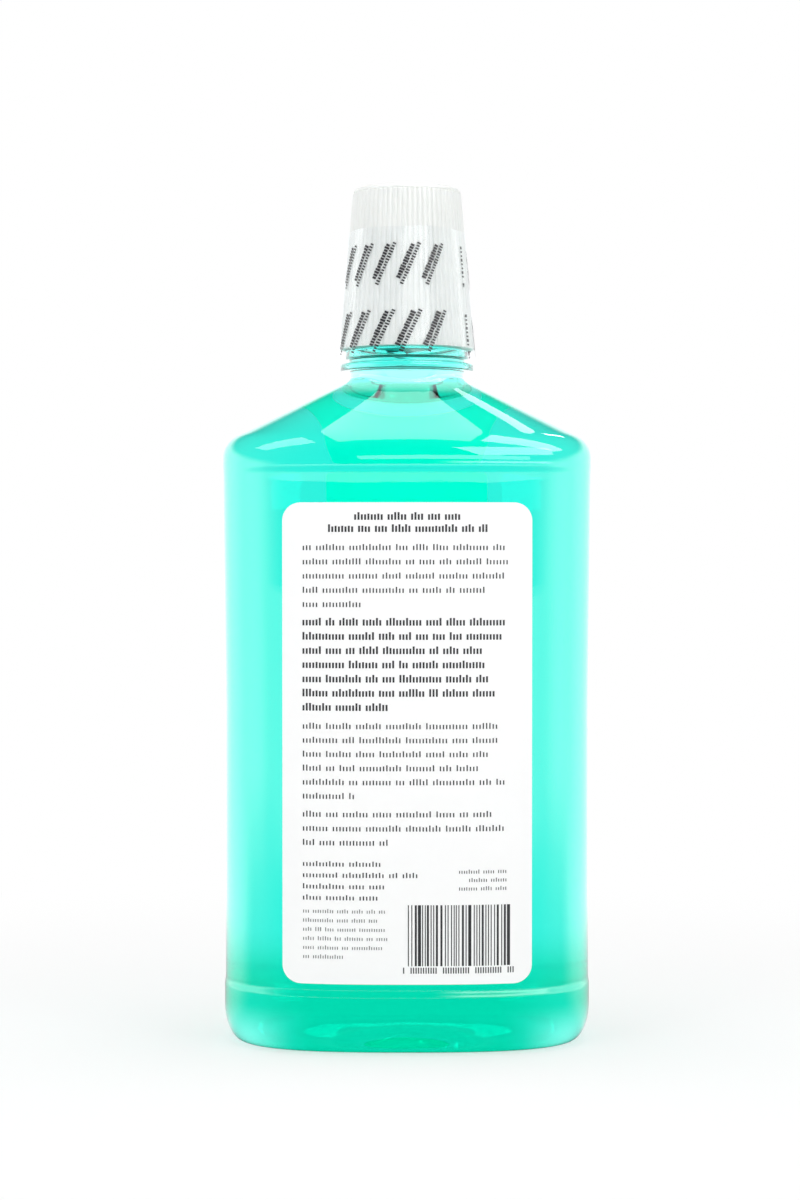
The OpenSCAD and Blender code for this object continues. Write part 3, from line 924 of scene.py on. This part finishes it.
class BOTTLE_OT_labels(bpy.types.Operator):
    """Lay the two labels on the panel and print the near one with rows of bars"""

    bl_idname = "bottle.labels"
    bl_label = "Labels"

    def execute(self, context):
        s = sizes("label_sizes")
        film, painted_label_back = label_film(), label_inside()
        for name, node, width, top_z, side in (
            ("back_label_sheet", "back_label", s.back_w, s.back_top_z, 1),
            ("front_label_sheet", "front_label", s.front_w, s.front_top_z, -1),
        ):
            sheet = label_sheet(name, width, s.low_z, top_z, side)
            dress(sheet, film, "filled_bottle", "label", node)
            # The inner sides carry painted light and a painted glow
            sheet.data.materials.append(painted_label_back)
            for face in sheet.data.polygons:
                face.material_index = int(face.normal.y * side > 0.5)
        rng = random.Random(7)
        places = []
        for first, step, tall, bold, lines in LABEL_BLOCKS:
            for i, (start, end) in enumerate(lines):
                places += strokes(first - step * i, start, end, tall, bold, rng)
        places += bar_pattern(rng)
        # The print stands clear of the label, so that the two share no face
        out = s.gap + s.thick + 0.008 * MM

        def where(x, z):
            return x, surface_y(x, z + s.back_top_z, out), z + s.back_top_z

        marks = printed("back_label_print", places, where)
        dress(marks, ink(), "filled_bottle", "label")
        return {"FINISHED"}


def crest_r(z):
    """Radius over the cap's ribs at a height."""
    c = sizes("cap_sizes")
    return c.low_r - c.taper * (z - c.low_z)


# Height of a rib at each facet over its width, from groove to groove
RIB_PROFILE = (0, 0.22, 0.78, 1, 1, 1, 1, 1, 0.78, 0.22)


def ribbed_point(ring, angle):
    """A point of a ring of the cap: radius under the ribs, height of the ribs, height."""
    base, rise, z = ring
    facets = len(RIB_PROFILE)
    step = round(angle / (2 * math.pi) * sizes("cap_sizes").ribs * facets) % facets
    r = base + rise * RIB_PROFILE[step]
    return r * math.cos(angle), r * math.sin(angle), z


def cap_shell():
    """Rings of the cap from the middle of its top, down the ribs and up the inside."""
    c = sizes("cap_sizes")
    edge_z = c.top_z - c.edge
    ribs_top = edge_z - c.rib_h
    edge_r = crest_r(edge_z) - c.rib_h * 0.4 - c.edge
    edge_steps, wall_steps = 8, 8
    shell = [(edge_r * r, 0, c.top_z) for r in (0, 0.3, 0.6, 0.85, 0.96)]
    for i in range(edge_steps, -1, -1):
        t = math.radians(90 * i / edge_steps)
        shell.append((edge_r + c.edge * math.cos(t), 0, edge_z + c.edge * math.sin(t)))
    ribs = [(0.35, edge_z - 0.15 * MM), (0.8, ribs_top + 0.02 * MM), (1, ribs_top - 0.2 * MM)]
    low = c.low_z + 0.25 * MM
    ribs += [(1, ribs_top + (low - ribs_top) * i / wall_steps) for i in range(1, wall_steps + 1)]
    shell += [(crest_r(z) - c.rib_h, c.rib_h * share, z) for share, z in ribs]
    foot_r = crest_r(c.low_z) - c.rib_h
    shell.append((foot_r - 0.05 * MM, c.rib_h * 0.8, c.low_z + 0.06 * MM))
    shell.append((foot_r - 0.2 * MM, c.rib_h * 0.4, c.low_z))

    def inner(z):
        return crest_r(z) - c.rib_h - c.wall

    outline = (
        (inner(c.low_z) + 0.15 * MM, c.low_z),
        (inner(c.low_z), c.low_z + 0.15 * MM),
        (inner(c.bead_z - 0.3 * MM), c.bead_z - 0.3 * MM),
        (c.bead_r + 0.1 * MM, c.bead_z + 0.05 * MM),
        (c.bead_r, c.bead_z + c.bead_h / 2),
        (c.bead_r + 0.1 * MM, c.bead_z + c.bead_h - 0.05 * MM),
        (inner(c.bead_z + c.bead_h), c.bead_z + c.bead_h),
        (inner(c.roof_z - 0.4 * MM), c.roof_z - 0.4 * MM),
        (inner(c.roof_z) - 0.4 * MM, c.roof_z),
        (0.5 * inner(c.roof_z), c.roof_z),
        (0, c.roof_z),
    )
    return shell + [(r, 0, z) for r, z in outline]


def driving_lug(angle):
    """A lug under the roof of the cap, in a direction."""
    c = sizes("cap_sizes")
    deselect()
    middle = c.lug_end_r - c.lug_l / 2
    top = c.roof_z + 0.3 * MM
    bpy.ops.mesh.primitive_cube_add(
        size=1,
        location=(middle * math.cos(angle), middle * math.sin(angle), (c.lug_z + top) / 2),
        rotation=(0, 0, angle),
        scale=(c.lug_l, c.lug_w, top - c.lug_z),
    )
    lug = bpy.context.object
    bpy.ops.object.transform_apply(location=True, rotation=True, scale=True)
    rim = lug.modifiers.new("edges", "BEVEL")
    rim.width = 0.15 * MM
    rim.segments = 2
    apply_modifiers(lug)
    return lug


class BOTTLE_OT_cap(bpy.types.Operator):
    """Build the outer cap with rounded ribs, a snap bead and driving lugs"""

    bl_idname = "bottle.cap"
    bl_label = "Outer cap"

    def execute(self, context):
        c = sizes("cap_sizes")
        piece = rolled("ribbed_cap", cap_shell(), c.ribs * len(RIB_PROFILE), ribbed_point)
        lugs = [driving_lug(2 * math.pi * (i + 0.5) / c.lugs) for i in range(c.lugs)]
        pick(piece)
        for lug in lugs:
            lug.select_set(True)
        bpy.ops.object.join()
        smooth(piece, 50)
        dress(piece, cap_plastic(), "cap", "cap_plastic", "outer_cap")
        return {"FINISHED"}


# Points of a thread's profile: reach as a share of its depth, or of THREAD_ROOT where it lies
# under the surface, and height in mm
THREAD_PROFILE = ((-0.35, -0.95), (1, -0.42), (1, 0.42), (-0.35, 0.95))
THREAD_ROOT = 0.35 * MM
# Steps in one turn of a thread
THREAD_STEPS = 64
# How far round a thread fades at each end, and how much of that lies past the end, in radians
FADE, FADE_PAST = 0.7, 0.35


def thread(name, radius, start, turns, out):
    """A tapered-out screw thread swept from a four-sided profile. out is -1 for one that points
    inwards, else 1."""
    n = sizes("neck_sizes")
    deselect()
    bpy.ops.mesh.primitive_circle_add(
        vertices=len(THREAD_PROFILE), radius=1, fill_type="NOTHING"
    )
    piece = named(name)
    for vertex, (r, z) in zip(piece.data.vertices, THREAD_PROFILE):
        reach = (n.thread_depth if r > 0 else THREAD_ROOT) * r
        vertex.co = (radius + out * reach, 0, start + z * MM)
    total = 2 * math.pi * turns
    sweep = piece.modifiers.new("thread", "SCREW")
    sweep.axis = "Z"
    sweep.angle = total
    sweep.screw_offset = n.thread_pitch * turns
    sweep.steps = round(THREAD_STEPS * turns)
    sweep.render_steps = sweep.steps
    sweep.use_smooth_shade = False
    apply_modifiers(piece)
    for vertex in piece.data.vertices:
        x, y, z = vertex.co
        r = math.hypot(x, y)
        rise = max(0.0, out * (r - radius))
        turned = (z - start) / n.thread_pitch * 2 * math.pi
        fade = eased(min(turned + FADE_PAST, total + FADE_PAST - turned) / FADE)
        fresh = radius + out * rise * fade if rise > 0 else r
        vertex.co.x, vertex.co.y = x / r * fresh, y / r * fresh
    edit(piece, "DESELECT")
    bpy.ops.mesh.select_mode(type="EDGE")
    bpy.ops.mesh.select_non_manifold(extend=False)
    bpy.ops.mesh.edge_face_add()
    bpy.ops.mesh.select_all(action="SELECT")
    bpy.ops.mesh.normals_make_consistent(inside=False)
    bpy.ops.object.mode_set(mode="OBJECT")
    smooth(piece)
    return piece


class BOTTLE_OT_threads(bpy.types.Operator):
    """Sweep the thread of the bottle's mouth and the one inside the dosing cup's skirt"""

    bl_idname = "bottle.threads"
    bl_label = "Threads"

    def execute(self, context):
        n = sizes("neck_sizes")
        outer = thread("mouth_thread", n.finish_r, n.thread_z, 1.6, 1)
        dress(outer, bpy.data.materials["clear_bottle_plastic"], "filled_bottle", "clear_bottle")
        low = n.thread_z + n.thread_pitch / 2
        inner = thread("cup_thread", n.skirt_r, low, 1.4, -1)
        dress(inner, bpy.data.materials["dosing_cup_plastic"], "cup", "cup_plastic")
        return {"FINISHED"}


class BOTTLE_OT_cup_and_seal(bpy.types.Operator):
    """Finish the dosing cup and the sealing ring of the packed model"""

    bl_idname = "bottle.cup_and_seal"
    bl_label = "Dosing cup and seal"

    def execute(self, context):
        dress_node("dosing_cup", cup_plastic())
        dress_node("sealing_ring", seal_foam())
        return {"FINISHED"}


def film_r(angle, z):
    """Inner radius of the shrunk film: close on the ribs, with faint upright puckers."""
    c = sizes("cap_sizes")
    share = (z - c.film_z) / (c.film_top_z - c.film_z)
    pucker = 0.5 + 0.5 * math.sin(9 * angle + 2.1 * math.sin(3 * angle) + 5 * share)
    ends = 0.35 + 0.65 * max(eased(1 - share * 4), eased(share * 4 - 3))
    return crest_r(z) + c.film_gap * 0.9 + 0.16 * MM * pucker * ends


def film_top(angle):
    """Height of the film's upper edge, which waves a little and is higher at the near side."""
    c = sizes("cap_sizes")
    near = -math.sin(angle)
    return c.film_top_z - 0.35 * MM + 0.3 * MM * near + 0.12 * MM * math.sin(5 * angle + 1)


def film_tube():
    """The film round the cap, with the cuts of its tear line left open."""
    c = sizes("cap_sizes")
    tear = math.radians(c.tear_deg - 90)
    around, rows = 240, 65
    # Half the width of a cut, as an angle at mid height
    half_cut = 0.1 * MM / crest_r(190 * MM)
    turn = 2 * math.pi - 2 * half_cut
    angles = [tear + half_cut + turn * i / around for i in range(around + 1)]
    angles.append(tear - half_cut + 2 * math.pi + 2 * half_cut)
    piece = sheet_of("clear_neckband", len(angles) - 1, rows)

    def where(u, v):
        angle = angles[round(u * (len(angles) - 1))]
        z = c.film_z + (film_top(angle) - c.film_z) * v
        r = film_r(angle, z)
        return r * math.cos(angle), r * math.sin(angle), z

    lay(piece, where)
    face_out(piece, WELD)
    edit(piece, "DESELECT")
    bpy.ops.mesh.select_mode(type="FACE")
    bpy.ops.object.mode_set(mode="OBJECT")
    for face in piece.data.polygons:
        angle = math.atan2(face.center.y, face.center.x)
        row = int((face.center.z - c.film_z) / (c.film_top_z - c.film_z) * rows)
        off = (angle - tear + math.pi) % (2 * math.pi) - math.pi
        # Two rows in four are cut and the others hold
        face.select = abs(off) < half_cut * 0.5 and row % 4 in (1, 2)
    bpy.ops.object.mode_set(mode="EDIT")
    bpy.ops.mesh.delete(type="FACE")
    bpy.ops.object.mode_set(mode="OBJECT")
    middle = piece.data.polygons[len(piece.data.polygons) // 2]
    if middle.normal.x * middle.center.x + middle.normal.y * middle.center.y < 0:
        turn_over(piece)
    thicken(piece, c.film_t)
    smooth(piece)
    return piece


def arc(degrees):
    """Distance in mm along the film, laid flat, of a direction from the back label."""
    return math.radians(degrees) * FLAT_R / MM


def slanted(direction, z, rng):
    """Two slanted rows of short strokes about a direction in degrees and a height in mm."""
    lean = math.radians(PRINT_LEAN)
    pitch = 0.74
    places = []
    for side, size, reach, bold in ((-0.55, 1.35, 9.6, 0.56), (0.85, 1.05, 11.8, 0.4)):
        along = -reach / 2
        while along < reach / 2:
            x = along * math.cos(lean) + side * math.sin(lean)
            up = along * math.sin(lean) - side * math.cos(lean)
            tall = size * rng.choice((0.75, 1, 0.85))
            places.append((arc(direction) + x, z + up, bold, tall, PRINT_LEAN))
            along += pitch
    return places


def film_print():
    """Stand-in print of the film: two bands of slanted rows, and two stacks of bars beside them
    that the slanted rows leave room for."""
    rng = random.Random(11)
    places = []
    # Heights in mm, and directions in degrees from the back label
    for low in (193.9, 176.9):
        for i in range(-1, 13):
            direction = -45.6 + 23.3 * i
            past_stacks = abs((direction - 62 + 180) % 360 - 180) > 16
            if past_stacks:
                places += slanted(direction, low + 4.9, rng)
    stack = arc(63.4)
    for high in (203.0, 185.6):
        places += [(stack, high - 1.05 * i, 0.8, 0.42 if i % 3 else 0.7) for i in range(8)]
        places += [(stack, high - 9.2 - 0.3 * i, 1.0 - 0.28 * i, 0.3) for i in range(4)]
    return places


class BOTTLE_OT_neckband(bpy.types.Operator):
    """Shrink the clear neckband on and print it with slanted rows of bars"""

    bl_idname = "bottle.neckband"
    bl_label = "Neckband"

    def execute(self, context):
        film_t = sizes("cap_sizes").film_t
        dress(film_tube(), shrink_film(), "band", "film", "neckband")

        def on_film(x, z):
            angle = x / FLAT_R - math.pi / 2
            r = film_r(angle, z) + film_t + 0.01 * MM
            return r * math.cos(angle), r * math.sin(angle), z

        marks = printed("neckband_print", film_print(), on_film)
        dress(marks, bpy.data.materials["print_ink"], "band", "film")
        return {"FINISHED"}


# Soft square lamps: name, place, point it looks at, size, power, and whether it shows in
# reflections alone. Any other shows in none.
LAMPS = (
    ("overhead_softbox", (0, 0.04, 0.9), (0, 0, 0.16), (0.62, 0.42), 2.6, False),
    ("overhead_strip", (-0.01, 0.06, 0.78), (-0.01, 0.06, 0), (0.3, 0.78), 2.2, True),
    ("left_bar", (-0.49, -0.16, 0.78), (-0.49, -0.16, 0), (0.5, 0.28), 1.5, True),
    ("right_bar", (0.55, -0.16, 0.78), (0.55, -0.16, 0), (0.76, 0.28), 4.0, True),
    ("right_strip", (0.55, -0.62, 0.78), (0, 0, 0.15), (0.9, 0.4), 6.0, True),
    ("left_softbox", (-0.55, -0.62, 0.42), (0, 0, 0.11), (0.45, 0.6), 2.0, False),
    ("right_softbox", (0.6, -0.58, 0.40), (0, 0, 0.11), (0.35, 0.6), 1.6, False),
    ("film_softbox", (0.27, -0.87, 0.46), (0, 0, 0.19), (0.85, 0.16), 1.2, True),
    ("far_spot", (0.36, 0.52, 0.78), (0, 0, 0.15), (0.05, 0.16), 0.3, True),
    ("far_streak", (0.245, 0.4, 0.78), (0.245, 0.4, 0), (0.035, 0.24), 0.09, True),
)


def area_lamp(name, place, aim, size, power, mirrored):
    deselect()
    bpy.ops.object.light_add(type="AREA", location=place)
    lamp = bpy.context.object
    lamp.name = name
    lamp.data.shape = "RECTANGLE"
    lamp.data.size, lamp.data.size_y = size
    lamp.data.energy = power
    lamp.visible_glossy = mirrored
    lamp.visible_diffuse = not mirrored
    lamp.visible_transmission = not mirrored
    way = Vector(aim) - Vector(place)
    lamp.rotation_euler = way.to_track_quat("-Z", "Y").to_euler()


def surroundings(depth):
    """Brightness of what the object mirrors in a level direction of some depth, in front and
    behind: dark on the camera's side, bright at both sides and paler behind."""
    behind = depth.between(-0.3, 0.1)
    front = depth.between(-0.8, -0.35, 0.03, 2.7) * (1 - behind)
    return front, behind * depth.between(0.15, 0.9, 2.2, 1.2)


def light_world():
    """White behind the object, dimmer for its own light, and in reflections the surroundings with
    a low glint on the right."""
    world = bpy.data.worlds.new("studio")
    bpy.context.scene.world = world
    g = Graph(world)
    direction = g.place("Generated")
    across, depth, height = (g.axis(name, direction) for name in "XYZ")
    front, behind = surroundings(depth)
    walls = (front + behind) * (height - depth * 0.2).between(0.14, 0.38, 1.0, 0.04)
    low_glint = height.within((0.04, 0.07), (0.14, 0.19)) * depth.between(-0.6, -0.4, 4.5, 0.0)
    shown = walls + low_glint * across.between(0.04, 0.2)
    white = g.ray("Camera").math("MAXIMUM", g.ray("Transmission"))
    mirrored = g.ray("Glossy")
    own_light = 0.6
    strength = white + (1 - white) * (mirrored * shown + (1 - mirrored) * own_light)
    back = g.node("ShaderNodeBackground", None, {"Color": WHITE, "Strength": strength})
    g.end("ShaderNodeOutputWorld", Surface=back)


def floor_finish():
    """Pale floor that keeps the shadow near the object and runs into the white beyond. It is dark
    and bright in reflections as its surroundings are."""
    material, g, looks = new_material("studio_floor")
    tone = g.blend(g.noise(6, 2), shade(looks.floor), shade(looks.floor, 1.01))
    paper = g.node("ShaderNodeBsdfPrincipled", None, {"Base Color": tone, "Roughness": 0.9})
    place = g.place()
    away = g.node("ShaderNodeVectorMath", {"operation": "LENGTH"}, {0: place}, output="Value")
    level = g.node("ShaderNodeVectorMath", {"operation": "NORMALIZE"}, {0: place})
    depth = g.axis("Y", level)
    front, behind = surroundings(depth)
    shown = front * away.between(0.05, 0.9) + behind * away.between(0.04, 0.3, 0.3, 1.0)
    shown = shown + depth.between(-0.8, -0.5, 1.7, 0.0) * away.between(0.25, 0.65)
    reflected = g.ray("Glossy") * (1 - g.ray("Transmission"))
    # Brightness runs past 1, so the colours are divided by the strength of the glow
    strength = 4.0
    grey = dict.fromkeys(range(3), shown * (1 / strength))
    unlit = shade((1 / strength,) * 3)
    lit = g.blend(reflected, unlit, g.node("ShaderNodeCombineColor", None, grey))
    glow = g.node("ShaderNodeEmission", None, {"Color": lit, "Strength": strength})
    seen = g.ray("Camera")
    beyond = away.between(0.06, 0.3, 0.55, 1.0)
    mask = seen * beyond + (1 - seen) * (1 - g.ray("Diffuse"))
    g.end(Surface=g.node("ShaderNodeMixShader", None, {0: mask, 1: paper, 2: glow}))
    return material


# Size of the floor, and how far it lies under the object, in metres
FLOOR_R, FLOOR_DROP = 6, 0.0002
# The camera: its place, how far it looks down in degrees, its lens and its sensor in mm
CAMERA_PLACE = (-0.0018, -0.641, 0.1258)
CAMERA_DOWN, CAMERA_LENS, CAMERA_SENSOR = 1.16, 74.2, 36


class BOTTLE_OT_stage(bpy.types.Operator):
    """Set up the floor, the lamps, the world and the camera"""

    bl_idname = "bottle.stage"
    bl_label = "Studio"

    def execute(self, context):
        scene = context.scene
        scene.view_settings.view_transform = "Standard"
        deselect()
        bpy.ops.mesh.primitive_circle_add(
            vertices=96, radius=FLOOR_R, fill_type="NGON", location=(0, 0, -FLOOR_DROP)
        )
        floor = bpy.context.object
        floor.name = "studio_floor"
        bpy.ops.object.transform_apply(location=True)
        floor.data.materials.append(floor_finish())
        light_world()
        for lamp in LAMPS:
            area_lamp(*lamp)
        deselect()
        bpy.ops.object.camera_add(
            location=CAMERA_PLACE, rotation=(math.radians(90 - CAMERA_DOWN), 0, 0)
        )
        camera = bpy.context.object
        camera.name = "photo_camera"
        camera.data.lens = CAMERA_LENS
        camera.data.sensor_width = CAMERA_SENSOR
        camera.data.clip_start = 0.01
        camera.data.clip_end = 50
        scene.camera = camera
        return {"FINISHED"}


class BOTTLE_PT_panel(bpy.types.Panel):
    """Lists the sizes and the steps that build the bottle"""

    bl_idname = "BOTTLE_PT_panel"
    bl_label = "Mouthwash bottle"
    bl_space_type = "VIEW_3D"
    bl_region_type = "UI"
    bl_category = "Bottle"

    def draw(self, context):
        layout = self.layout
        for operator in OPERATORS:
            layout.operator(operator.bl_idname)
        for name, group in GROUPS.items():
            box = layout.box()
            box.label(text=group.__doc__)
            held = getattr(context.scene, name)
            for field in group.__annotations__:
                box.prop(held, field)


GROUPS = {
    "bottle_sizes": BottleSizes,
    "neck_sizes": NeckSizes,
    "cap_sizes": CapSizes,
    "label_sizes": LabelSizes,
    "bottle_finishes": Finishes,
}
OPERATORS = (
    BOTTLE_OT_stage,
    BOTTLE_OT_blown_bottle,
    BOTTLE_OT_liquid,
    BOTTLE_OT_labels,
    BOTTLE_OT_cup_and_seal,
    BOTTLE_OT_threads,
    BOTTLE_OT_cap,
    BOTTLE_OT_neckband,
)


def register():
    for made in (*GROUPS.values(), *OPERATORS, BOTTLE_PT_panel):
        bpy.utils.register_class(made)
    for name, group in GROUPS.items():
        setattr(bpy.types.Scene, name, PointerProperty(type=group))


def unregister():
    for name in GROUPS:
        delattr(bpy.types.Scene, name)
    for made in reversed((*GROUPS.values(), *OPERATORS, BOTTLE_PT_panel)):
        bpy.utils.unregister_class(made)


def main():
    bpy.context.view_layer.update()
    register()
    for operator in OPERATORS:
        group, step = operator.bl_idname.split(".")
        getattr(getattr(bpy.ops, group), step)()
    deselect()


if __name__ == "__main__":
    main()
